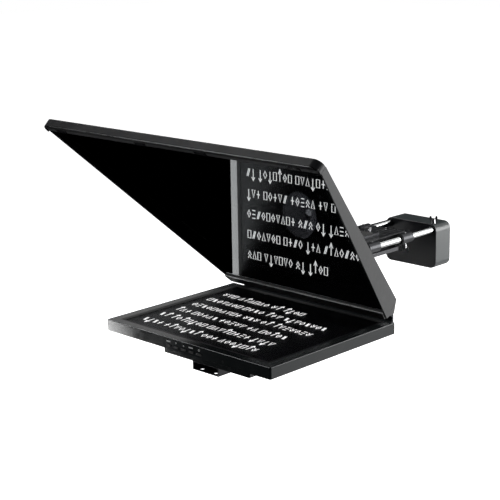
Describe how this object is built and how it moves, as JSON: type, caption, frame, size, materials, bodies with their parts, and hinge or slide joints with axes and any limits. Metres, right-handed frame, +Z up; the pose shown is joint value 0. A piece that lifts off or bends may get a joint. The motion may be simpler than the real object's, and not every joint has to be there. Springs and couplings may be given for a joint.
{
  "type": "teleprompter",
  "caption": "Teleprompter: flat monitor under an angled beam-splitter hood, on twin rods with a grooved camera platform and a sliding counterweight.",
  "frame": {"origin": "mouth of the 3/8 inch tripod thread, centre of the underside of the base plate", "axes": "+Z up, +X to the right of the presenter, -Y towards the presenter; rods and lens axis run along Y"},
  "size_m": [0.6934, 0.7524, 0.4495],
  "materials": {
    "anodised_black": "black anodised, fine bead-blasted",
    "platform_black": "black anodised extrusion with drawn lines",
    "rod_steel": "polished stainless tube",
    "fastener_steel": "plated, turned",
    "wing_chrome": "bright plated casting",
    "black_plastic": "black moulded",
    "gloss_plastic": "gloss black moulded",
    "frame_paint": "satin charcoal powder coat",
    "monitor_paint": "fine black powder coat",
    "shell_black": "matt black moulded composite",
    "rubber": "matt",
    "fabric": "black stretch weave",
    "splitter_glass": "beam-splitter coated glass",
    "screen": "anti-glare cover glass",
    "panel": "liquid crystal panel",
    "board": "circuit board",
    "weight_grey": "satin grey paint",
    "weight_steel": "mill finish",
    "window": "smoked lens"
  },
  "bodies": {
    "base": {"base_plate": "anodised_black", "camera_platform": "platform_black", "front_rod_bracket": "anodised_black", "rear_rod_bracket": "anodised_black", "rod_bushes": "black_plastic", "platform_bolts": "fastener_steel", "collar_screws": "fastener_steel"},
    "clamp_wing_left": {"clamp_wing_left": "wing_chrome"},
    "clamp_wing_right": {"clamp_wing_right": "wing_chrome"},
    "camera_slide": {"camera_slide_plate": "anodised_black", "tee_nut": "fastener_steel", "camera_pad": "rubber"},
    "camera_screw": {"camera_screw": "fastener_steel"},
    "slide_lock": {"slide_lock_knob": "wing_chrome"},
    "head": {"rod_left": "rod_steel", "rod_right": "rod_steel", "rod_plugs": "black_plastic", "riser_head": "anodised_black", "riser_plate": "anodised_black", "hinge_bracket": "anodised_black", "pivot_pins": "fastener_steel", "friction_washers": "black_plastic", "support_channel": "anodised_black", "pan_screws": "fastener_steel", "monitor_bezel": "monitor_paint", "screen_glass": "screen", "panel_module": "panel", "panel_rails": "fastener_steel", "rear_panel": "monitor_paint", "chassis_box": "monitor_paint", "video_sockets": "black_plastic", "power_inlet": "black_plastic", "driver_board": "board", "power_board": "board", "keypad_board": "board", "status_window": "window"},
    "hood": {"hood_bottom_rail": "gloss_plastic", "hood_top_rail": "frame_paint", "glass_strip": "gloss_plastic", "strip_clips": "gloss_plastic", "beam_splitter": "splitter_glass", "hood_side_left": "frame_paint", "hood_side_right": "frame_paint", "hood_floor": "shell_black", "hood_shell": "shell_black", "lens_plate": "anodised_black", "lens_ring": "anodised_black", "lens_ring_screws": "fastener_steel", "lens_sleeve": "fabric"},
    "counterweight": {"weight_case": "weight_grey", "weight_front_cover": "weight_grey", "weight_rear_cover": "weight_grey", "weight_slabs": "weight_steel", "weight_screws": "fastener_steel"},
    "weight_wing": {"weight_wing": "wing_chrome"},
    "menu_button": {"menu_button": "black_plastic"},
    "down_button": {"down_button": "black_plastic"},
    "up_button": {"up_button": "black_plastic"},
    "source_button": {"source_button": "black_plastic"},
    "power_button": {"power_button": "black_plastic"}
  },
  "joints": [
    {"name": "rod_slide", "type": "slide", "parent": "base", "child": "head", "axis": [0, 1, 0], "range_m": [-0.03, 0.04]},
    {"name": "hood_fold", "type": "hinge", "parent": "head", "child": "hood", "pos_m": [0, -0.152, -0.043], "axis": [1, 0, 0], "range_deg": [0, 41]},
    {"name": "weight_slide", "type": "slide", "parent": "head", "child": "counterweight", "axis": [0, 1, 0], "range_m": [-0.04, 0.02]},
    {"name": "weight_wing_turn", "type": "hinge", "parent": "counterweight", "child": "weight_wing", "pos_m": [0.0535, 0.184, 0.0333], "axis": [0, 0, 1], "continuous": true},
    {"name": "camera_slide", "type": "slide", "parent": "base", "child": "camera_slide", "axis": [0, 1, 0], "range_m": [-0.015, 0.055]},
    {"name": "camera_screw_turn", "type": "hinge", "parent": "camera_slide", "child": "camera_screw", "pos_m": [0, -0.005, 0.031], "axis": [0, 0, 1], "continuous": true},
    {"name": "slide_lock_turn", "type": "hinge", "parent": "camera_slide", "child": "slide_lock", "pos_m": [0, 0.03, 0.0366], "axis": [0, 0, 1], "continuous": true},
    {"name": "clamp_wing_left_turn", "type": "hinge", "parent": "base", "child": "clamp_wing_left", "pos_m": [-0.055, 0.083, 0.0089], "axis": [0, 0, 1], "continuous": true},
    {"name": "clamp_wing_right_turn", "type": "hinge", "parent": "base", "child": "clamp_wing_right", "pos_m": [0.055, 0.083, 0.0089], "axis": [0, 0, 1], "continuous": true},
    {"name": "menu_button_press", "type": "slide", "parent": "head", "child": "menu_button", "axis": [0, 1, 0], "range_m": [0, 0.0008], "stiffness_N_per_m": 900, "springref_m": -0.0006},
    {"name": "down_button_press", "type": "slide", "parent": "head", "child": "down_button", "axis": [0, 1, 0], "range_m": [0, 0.0008], "stiffness_N_per_m": 900, "springref_m": -0.0006},
    {"name": "up_button_press", "type": "slide", "parent": "head", "child": "up_button", "axis": [0, 1, 0], "range_m": [0, 0.0008], "stiffness_N_per_m": 900, "springref_m": -0.0006},
    {"name": "source_button_press", "type": "slide", "parent": "head", "child": "source_button", "axis": [0, 1, 0], "range_m": [0, 0.0008], "stiffness_N_per_m": 900, "springref_m": -0.0006},
    {"name": "power_button_press", "type": "slide", "parent": "head", "child": "power_button", "axis": [0, 1, 0], "range_m": [0, 0.0008], "stiffness_N_per_m": 900, "springref_m": -0.0006}
  ]
}
